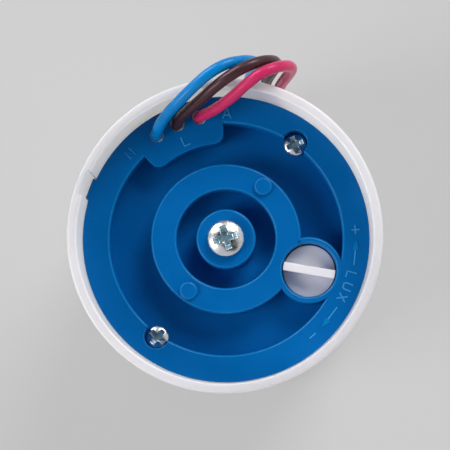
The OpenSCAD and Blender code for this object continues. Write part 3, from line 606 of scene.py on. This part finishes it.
class PHOTOCELL_OT_base(bpy.types.Operator):
    """Blue base plate with every moulded edge rounded, and the marks raised on its land"""

    bl_idname = "photocell.base"
    bl_label = "Base plate"

    def execute(self, context):
        sizes = context.scene.photocell_mould
        # ABS with blue masterbatch: deep, even blue, satin from the eroded mould
        blue = moulded_plastic(
            "abs_moulded_blue", sizes.base, rough=0.3, **{"Specular IOR Level": 0.12})
        # The same plastic on the rounded edges, a little glossier and painted paler: a painted highlight
        # along them
        painted_edge_highlight = moulded_plastic(
            "abs_moulded_blue_rubbed", sizes.edge, rough=0.24, **{"Specular IOR Level": 0.14})
        # The same plastic in thin raised strokes, painted paler still: a painted highlight on the ridges
        painted_stroke_highlight = moulded_plastic(
            "abs_moulded_blue_thin", sizes.mark, rough=0.28, **{"Specular IOR Level": 0.14})
        plate = copy_of("base_plate", "base_plate_moulded")
        self.clear_pip_tops(plate)
        self.weigh_edges(plate)
        dressed(plate, blue, "housing", "base_plastic", "base_plate")
        # The rounding takes the second material, the painted edge highlight
        plate.data.materials.append(painted_edge_highlight)
        applied(plate, "BEVEL", width=sizes.fillet, segments=2, limit_method="WEIGHT",
                use_clamp_overlap=False, material=1)
        self.close_corners(plate)
        levelled(smoothed(plate, 20))
        dressed(self.strokes(context, sizes), painted_stroke_highlight, "housing", "base_plastic")
        # The arrow heads take the painted edge highlight too
        dressed(self.heads(sizes), painted_edge_highlight, "housing", "base_plastic")
        return {"FINISHED"}

    def clear_pip_tops(self, plate):
        """Makes the top of each pip one face, so that its rounding stays even."""
        picked(plate, "FACE", lambda face: face.normal.z > LEVEL and face.center.z > PIP_FOOT * MM)
        bpy.ops.mesh.dissolve_faces()
        bpy.ops.object.mode_set(mode="OBJECT")

    def weigh_edges(self, plate):
        """Marks the plate's sharp outer edges for rounding, faintly along its rim and near the dial."""
        activate(plate)
        bpy.ops.object.mode_set(mode="EDIT")
        bpy.ops.mesh.select_mode(type="EDGE")
        bpy.ops.mesh.select_all(action="DESELECT")
        bpy.ops.mesh.edges_select_sharp(sharpness=math.radians(25))
        bpy.ops.object.mode_set(mode="OBJECT")
        sides = {}
        for face in plate.data.polygons:
            for key in face.edge_keys:
                sides.setdefault(key, []).append(face)
        weights = plate.data.attributes.new("bevel_weight_edge", "FLOAT", "EDGE")
        for edge in plate.data.edges:
            one, other = sides[edge.key]
            if not edge.select or one.normal.dot(other.center - one.center) > 0:
                continue
            start, end = (plate.data.vertices[v].co / MM for v in edge.vertices)
            middle = (start + end) / 2
            upright = abs(end.z - start.z) > UPRIGHT
            if upright and in_pocket_corner(middle):
                continue
            from_dial = math.dist(middle.xy, DIAL_AXIS)
            reach = middle.xy.length
            step = from_dial < STEP_FROM_DIAL and abs(reach - RING_EDGE) < STEP_FROM_RING
            boss = BOSS_FROM_DIAL[0] < from_dial < BOSS_FROM_DIAL[1] and reach > BOSS_FROM_CENTRE
            faint = step or boss or reach > PLATE_EDGE
            weights.data[edge.index].value = FAINT if faint else 1.0

    def close_corners(self, plate):
        """Merges the crowded points where the rounding turns the tight corners of the screw pockets."""
        low = LAND - CORNER_DEPTH
        picked(plate, "VERT", lambda v: v.co.z / MM > low and in_pocket_corner(v.co / MM))
        bpy.ops.mesh.remove_doubles(threshold=CORNER_MERGE * MM)
        bpy.ops.object.mode_set(mode="OBJECT")

    def strokes(self, context, sizes):
        """Half-round ridges of the letters, signs and arrow shafts."""
        line = bpy.data.curves.new("land_marks", "CURVE")
        line.dimensions = "3D"
        line.bevel_depth = sizes.stroke / 2
        line.bevel_resolution = 2
        line.use_fill_caps = True
        for mark, angle, radius in MARKS:
            turn = Matrix.Rotation(math.radians(angle - 90), 2)
            for stroke in STROKES[mark]:
                spline = line.splines.new("POLY")
                spline.points.add(len(stroke) - 1)
                for knot, (x, y) in zip(spline.points, stroke):
                    spot = turn @ Vector((x, y + radius))
                    knot.co = (spot.x * MM, spot.y * MM, LAND * MM, 1)
        marks = bpy.data.objects.new(line.name, line)
        context.scene.collection.objects.link(marks)
        activate(marks)
        bpy.ops.object.convert(target="MESH")
        return smoothed(bpy.context.object, 60)

    def heads(self, sizes):
        """Raised triangles of the two arrows."""
        made = []
        for angle, way in ARROW_HEADS:
            bpy.ops.object.select_all(action="DESELECT")
            bpy.ops.mesh.primitive_circle_add(vertices=3, radius=MM, fill_type="NGON")
            head = bpy.context.object
            head.name = head.data.name = "arrow_heads"
            bpy.ops.object.mode_set(mode="EDIT")
            bpy.ops.transform.resize(value=ARROW_SHARES, center_override=(0, 0, 0))
            bpy.ops.transform.translate(value=(0, ARROW_AHEAD * MM, -ARROW_SUNK * MM))
            bpy.ops.mesh.extrude_region_move(
                TRANSFORM_OT_translate={"value": (0, 0, sizes.stroke * ARROW_TALL)})
            bpy.ops.mesh.select_all(action="SELECT")
            bpy.ops.mesh.normals_make_consistent(inside=False)
            bpy.ops.object.mode_set(mode="OBJECT")
            spot = math.radians(angle)
            place = Vector((math.cos(spot), math.sin(spot), 0)) * MARK_REACH * MM
            placed(head, place + Vector((0, 0, LAND * MM)), spot + (math.pi if way > 0 else 0))
            made.append(head)
        activate(made[0])
        made[1].select_set(True)
        bpy.ops.object.join()
        applied(made[0], "BEVEL", width=sizes.stroke / 3, segments=2, limit_method="ANGLE")
        return smoothed(made[0], 40)


class PHOTOCELL_OT_dial(bpy.types.Operator):
    """White sensitivity dial with a softened grip rib"""

    bl_idname = "photocell.dial"
    bl_label = "Dial"

    def execute(self, context):
        sizes = context.scene.photocell_mould
        # Acetal, moulded: milky white with a waxy, slightly translucent skin
        acetal = moulded_plastic(
            "acetal_moulded_white", sizes.dial, rough=0.38, spread=0.02,
            **{"Subsurface Weight": 0.6, "Subsurface Radius": (1.2, 1.2, 1.2), "Subsurface Scale": MM})
        dial = copy_of("lux_dial", "lux_dial_moulded")
        applied(dial, "BEVEL", width=sizes.dial_fillet, segments=2, limit_method="ANGLE",
                angle_limit=math.radians(30), use_clamp_overlap=False)
        levelled(smoothed(dial, 20))
        dressed(dial, acetal, "dial", "dial_plastic", "lux_dial")
        return {"FINISHED"}


class PHOTOCELL_OT_screws(bpy.types.Operator):
    """Pan-head screws with tapered cross recesses and rolled threads"""

    bl_idname = "photocell.screws"
    bl_label = "Screws"

    def execute(self, context):
        sizes = context.scene.photocell_screws
        # Zinc plate, blue passivated: bright and faintly blue, with soft mottling
        zinc = plated_steel("zinc_plated_steel", linear("#d3d8dd"), rough=0.24)
        # The same plate in the punched recess: rougher, pale blue and half metallic, so that painted light
        # keeps the deep recess from going dark
        punched = plated_steel("zinc_plated_steel_punched", linear("#94bccb"), rough=0.4, metallic=0.5)
        common = {"segments": sizes.segments, "zinc": zinc, "punched": punched}
        screw = self.pan_screw("bracket_screw_plated", pitch=sizes.bracket_pitch, **BRACKET_SCREW, **common)
        placed(screw, Vector((0, 0, LAND * MM)), math.radians(BRACKET_TURN))
        dressed(screw, None, "housing", "zinc_steel", "bracket_screw")
        small = self.pan_screw("base_screw_plated", pitch=sizes.base_pitch, **BASE_SCREW, **common)
        angle = math.radians(SCREW_TURN)
        for name, way, turn in BASE_TURNS:
            one = bpy.data.objects.new("base_screw_" + name + "_plated", small.data.copy())
            context.scene.collection.objects.link(one)
            spot = Vector((way * math.cos(angle), way * math.sin(angle), 0)) * SCREW_REACH * MM
            placed(one, spot + Vector((0, 0, SEAT * MM)), math.radians(turn))
            dressed(one, None, "housing", "zinc_steel", "base_screws")
        bpy.data.objects.remove(small)
        return {"FINISHED"}

    def pan_screw(self, name, d, head, height, length, pitch, reach, wide, segments, zinc, punched):
        """A screw with the underside of its head at the origin, sizes in millimetres, the pitch in metres."""
        r = head / 2
        root = d / 2 - THREAD_DEPTH * pitch / MM
        mesh = bpy.data.meshes.new(name)
        point = [(0, -length), (root - POINT_NARROWER, -length), (root, -length + POINT_LONG)]
        neck = [(root, -NECK_LONG), (d / 2, 0)]
        underside = [(r - PAN_CHAMFER, 0), (r, PAN_CHAMFER)]
        outline = point + neck + underside + self.pan_outline(r, height)
        mesh.from_pydata([(x * MM, 0, z * MM) for x, z in outline],
                         [(i, i + 1) for i in range(len(outline) - 1)], [])
        screw = bpy.data.objects.new(name, mesh)
        mesh.materials.append(zinc)
        bpy.context.scene.collection.objects.link(screw)
        activate(screw)
        bpy.ops.object.mode_set(mode="EDIT")
        bpy.ops.mesh.select_all(action="SELECT")
        bpy.ops.mesh.spin(steps=segments, angle=math.tau, center=(0, 0, 0), axis=(0, 0, 1))
        bpy.ops.mesh.select_all(action="SELECT")
        bpy.ops.mesh.remove_doubles(threshold=TURNED_MERGE * MM)
        bpy.ops.mesh.normals_make_consistent(inside=False)
        bpy.ops.object.mode_set(mode="OBJECT")
        for cutter in self.cross_cutters(r, height, reach, wide):
            # The recess takes the pale, half-metallic plate: painted light
            cutter.data.materials.append(punched)
            applied(screw, "BOOLEAN", operation="DIFFERENCE", object=cutter, solver="EXACT",
                    material_mode="TRANSFER")
            bpy.data.objects.remove(cutter)
        applied(screw, "BEVEL", width=PAN_ROUNDING * head * MM, segments=2, limit_method="ANGLE",
                angle_limit=math.radians(40), use_clamp_overlap=False, material=0)
        smoothed(screw, 40)
        thread = self.thread(name + "_thread", d, root, length, pitch)
        thread.data.materials.append(zinc)
        activate(screw)
        thread.select_set(True)
        bpy.ops.object.join()
        return screw

    def pan_outline(self, r, height):
        """Outline of a pan head from its side over a sloping rim to the top of its low dome."""
        rim = PAN_RIM * r
        slope = math.radians(PAN_SLOPE)
        dome = (r - rim) / math.sin(slope)
        side = height - rim * math.tan(math.radians(PAN_LEAN)) - dome * (1 - math.cos(slope))
        steps = 6
        leans = [slope * i / steps for i in range(steps, 0, -1)]
        top = [(dome * math.sin(a), height - dome * (1 - math.cos(a))) for a in leans]
        return [(r, side), *top, (0, height)]

    def cross_cutters(self, r, height, reach, wide):
        """Two tapered bars and a cone that cut a cross recess, sized in shares of the head's radius."""
        made = []
        for turn in (0, 90):
            bpy.ops.object.select_all(action="DESELECT")
            bpy.ops.mesh.primitive_cube_add(size=1, location=(0, 0, 0))
            bar = bpy.context.object
            bar.scale = (r * reach * BAR_LONG * MM, r * wide * MM, height * MM)
            bpy.ops.object.transform_apply(scale=True)
            picked(bar, "VERT", lambda v: v.co.z < 0)
            bpy.ops.transform.resize(value=BAR_FOOT, center_override=(0, 0, 0))
            bpy.ops.object.mode_set(mode="OBJECT")
            placed(bar, Vector((0, 0, height * BAR_HEIGHT * MM)), math.radians(turn))
            made.append(bar)
        bpy.ops.object.select_all(action="DESELECT")
        bpy.ops.mesh.primitive_cone_add(
            vertices=32, radius1=r * CONE_FOOT * wide * MM, radius2=r * CONE_TOP * wide * MM,
            depth=height * MM, location=(0, 0, height * CONE_HEIGHT * MM))
        bpy.ops.object.transform_apply(location=True, rotation=True, scale=True)
        made.append(bpy.context.object)
        return made

    def thread(self, name, d, root, length, pitch):
        """A rolled thread wound up the shank from a four-sided profile, sunk a little into the shank."""
        tall = pitch / MM
        bottom = -length + THREAD_END
        foot = root - THREAD_SUNK
        crest = d / 2 - THREAD_PLAY
        profile = [(foot, bottom), (crest, bottom + CREST[0] * tall), (crest, bottom + CREST[1] * tall),
                   (foot, bottom + tall)]
        mesh = bpy.data.meshes.new(name)
        mesh.from_pydata([(x * MM, 0, z * MM) for x, z in profile],
                         [(0, 1), (1, 2), (2, 3), (3, 0)], [])
        thread = bpy.data.objects.new(name, mesh)
        bpy.context.scene.collection.objects.link(thread)
        turns = int((length - 2 * THREAD_END) / tall) - 1
        applied(thread, "SCREW", axis="Z", angle=math.tau, screw_offset=pitch, iterations=turns, steps=24,
                render_steps=24, use_merge_vertices=True, use_normal_calculate=True)
        activate(thread)
        bpy.ops.object.mode_set(mode="EDIT")
        bpy.ops.mesh.select_all(action="SELECT")
        bpy.ops.mesh.remove_doubles(threshold=TURNED_MERGE * MM)
        bpy.ops.mesh.fill_holes(sides=4)
        bpy.ops.mesh.normals_make_consistent(inside=False)
        bpy.ops.object.mode_set(mode="OBJECT")
        return smoothed(thread, 40)


class PHOTOCELL_OT_cup(bpy.types.Operator):
    """Finish of the cup and of the seal round the leads"""

    bl_idname = "photocell.cup"
    bl_label = "Cup and seal"

    def execute(self, context):
        sizes = context.scene.photocell_mould
        # Opal polypropylene: milky, with light bleeding a little way into thin edges, satin outside
        opal = moulded_plastic(
            "polypropylene_moulded_opal", sizes.cup, rough=0.36, spread=0.02, flow=14.0,
            # The skirt's inner wall is painted paler and warmer: painted light, with a wider scatter
            inside=(linear("#f6f2ea"), (28.0, 24.5, 19.5)),
            **{"Subsurface Weight": 1.0, "Subsurface Radius": (6.5, 6.3, 6.0), "Subsurface Scale": MM})
        # Silicone: soft, matt and white
        silicone = moulded_plastic("silicone_moulded_white", linear("#f2f0f0"), rough=0.55, spread=0.02)
        finished("housing_cup", opal)
        finished("lead_seal", silicone)
        return {"FINISHED"}


class PHOTOCELL_OT_inside(bpy.types.Operator):
    """Finishes of the pieces inside the cup"""

    bl_idname = "photocell.inside"
    bl_label = "Inside"

    def execute(self, context):
        leads = context.scene.photocell_leads
        # Zinc plate, duller than on the screws outside
        zinc = plated_steel("zinc_plated_steel_inside", linear("#c4c9cd"), rough=0.28)
        for node in ("captive_nut", "board_screws"):
            finished(node, zinc)
        for node, (name, colour, settings) in INSIDE_FINISHES.items():
            finished(node, moulded_plastic(name, linear(colour), **settings))
        for name in LEAD_ROUTES:
            finished("tail_" + name, extruded_pvc("pvc_extruded_" + name + "_inside", getattr(leads, name)))
        return {"FINISHED"}


class PHOTOCELL_OT_stage(bpy.types.Operator):
    """Camera at the photograph's angle, soft lamps and a pale floor"""

    bl_idname = "photocell.stage"
    bl_label = "Stage"

    def execute(self, context):
        sizes = context.scene.photocell_stage
        self.camera(context, sizes)
        for name, (place, side) in LAMPS.items():
            self.lamp(name + "_lamp", place, side, getattr(sizes, name))
        context.scene.objects["gloss_lamp"].visible_diffuse = False
        self.floor(sizes)
        self.room(context, sizes)
        context.scene.view_settings.view_transform = "Standard"
        return {"FINISHED"}

    def camera(self, context, sizes):
        """A long lens over the base plate that leans as the photograph's view does."""
        lean = math.sin(sizes.tilt)
        back = Vector((lean * math.sin(sizes.turn), -lean * math.cos(sizes.turn), math.cos(sizes.tilt)))
        up = (Vector((0, 1, 0)) - back * back.y).normalized()
        right = up.cross(back)
        bpy.ops.object.select_all(action="DESELECT")
        bpy.ops.object.camera_add()
        camera = context.object
        camera.matrix_world = Matrix((right, up, back)).transposed().to_4x4()
        camera.location = Vector(CAMERA_AIM) + back * sizes.distance
        camera.data.sensor_width = 36
        camera.data.lens = sizes.lens
        context.scene.camera = camera

    def room(self, context, sizes):
        """A room that is dim overhead and lighter low down, most of all on its two pale sides."""
        world = bpy.data.worlds.new("studio")
        context.scene.world = world
        world.use_nodes = True
        shade = world.node_tree.nodes["Background"]
        place = add(world, "ShaderNodeTexCoord").outputs["Generated"]
        across = add(world, "ShaderNodeVectorMath", {"operation": "DOT_PRODUCT"}, {0: place, 1: WALL_SIDE})
        reach = add(world, "ShaderNodeMath", {"operation": "ABSOLUTE"}, {0: across.outputs["Value"]})
        height = add(world, "ShaderNodeSeparateXYZ", {}, {"Vector": place}).outputs["Z"]
        low = add(world, "ShaderNodeMath", {"operation": "MULTIPLY_ADD"}, {
            0: height, 1: -WALL_FALL, 2: WALL_FALL})
        near = add(world, "ShaderNodeMath", {"operation": "ADD"}, {
            0: reach.outputs["Value"], 1: low.outputs["Value"]})
        tone = two_tones(
            world, near.outputs["Value"], linear("#3c3c3e"), linear("#ffffff"), start=0.4, end=0.75)
        world.node_tree.links.new(tone, shade.inputs["Color"])
        shade.inputs["Strength"].default_value = sizes.room

    def lamp(self, name, place, side, power):
        """A square soft lamp that faces the middle of the base plate."""
        bpy.ops.object.light_add(type="AREA", location=place)
        lamp = bpy.context.object
        lamp.name = name
        lamp.data.size = side
        lamp.data.energy = power
        lamp.rotation_euler = (Vector(LAMP_AIM) - Vector(place)).to_track_quat("-Z", "Y").to_euler()

    def floor(self, sizes):
        """A wide sheet of matt paper under the crown."""
        bpy.ops.object.select_all(action="DESELECT")
        bpy.ops.mesh.primitive_plane_add(size=6)
        sheet = bpy.context.object
        sheet.name = "floor_paper"
        sheet.data.materials.append(self.paper(sizes))

    def paper(self, sizes):
        """Matt paper with a faint tooth, half of it lit evenly for the eye so that its shadows stay light."""
        mat = bare_material("paper_matt_grey")
        place = add(mat, "ShaderNodeTexCoord").outputs["Object"]
        tooth = add(mat, "ShaderNodeTexNoise", {}, {
            "Vector": place, "Scale": 1 / (60 * MM), "Detail": 2.0}).outputs["Fac"]
        rays = add(mat, "ShaderNodeLightPath").outputs
        seen = add(mat, "ShaderNodeMath", {"operation": "MAXIMUM"}, {
            0: rays["Is Camera Ray"], 1: rays["Is Glossy Ray"]})
        half = toned(sizes.floor, 0.5)
        colour = add(mat, "ShaderNodeMix", {"data_type": "RGBA"}, {
            "Factor": seen.outputs["Value"], 6: sizes.floor,
            7: two_tones(mat, tooth, toned(half, 0.99), half)})
        return finish_surface(mat, {
            "Base Color": colour.outputs[2], "Roughness": 0.9, "Specular IOR Level": 0.1,
            "Emission Color": half, "Emission Strength": seen.outputs["Value"]})


class PHOTOCELL_PT_panel(bpy.types.Panel):
    """Lists the pieces and their sizes"""

    bl_idname = "PHOTOCELL_PT_panel"
    bl_label = "Photocell switch"
    bl_space_type = "VIEW_3D"
    bl_region_type = "UI"
    bl_category = "Photocell"

    def draw(self, context):
        for operator in OPERATORS:
            self.layout.operator(operator.bl_idname)
        for group in GROUPS:
            settings = getattr(context.scene, group)
            for field in settings.bl_rna.properties.keys():
                if field not in ("rna_type", "name"):
                    self.layout.prop(settings, field)


GROUPS = {
    "photocell_leads": LeadSettings,
    "photocell_mould": MouldSettings,
    "photocell_screws": ScrewSettings,
    "photocell_stage": StageSettings,
}
OPERATORS = (
    PHOTOCELL_OT_stage, PHOTOCELL_OT_leads, PHOTOCELL_OT_base, PHOTOCELL_OT_dial, PHOTOCELL_OT_screws,
    PHOTOCELL_OT_cup, PHOTOCELL_OT_inside)


def register():
    for group in GROUPS.values():
        bpy.utils.register_class(group)
    for operator in OPERATORS:
        bpy.utils.register_class(operator)
    bpy.utils.register_class(PHOTOCELL_PT_panel)
    for name, group in GROUPS.items():
        setattr(bpy.types.Scene, name, PointerProperty(type=group))


def unregister():
    for name in GROUPS:
        delattr(bpy.types.Scene, name)
    bpy.utils.unregister_class(PHOTOCELL_PT_panel)
    for operator in reversed(OPERATORS):
        bpy.utils.unregister_class(operator)
    for group in GROUPS.values():
        bpy.utils.unregister_class(group)


def main():
    register()
    bpy.ops.photocell.stage()
    bpy.ops.photocell.leads()
    bpy.ops.photocell.base()
    bpy.ops.photocell.dial()
    bpy.ops.photocell.screws()
    bpy.ops.photocell.cup()
    bpy.ops.photocell.inside()
    bpy.context.view_layer.update()


if __name__ == "__main__":
    main()
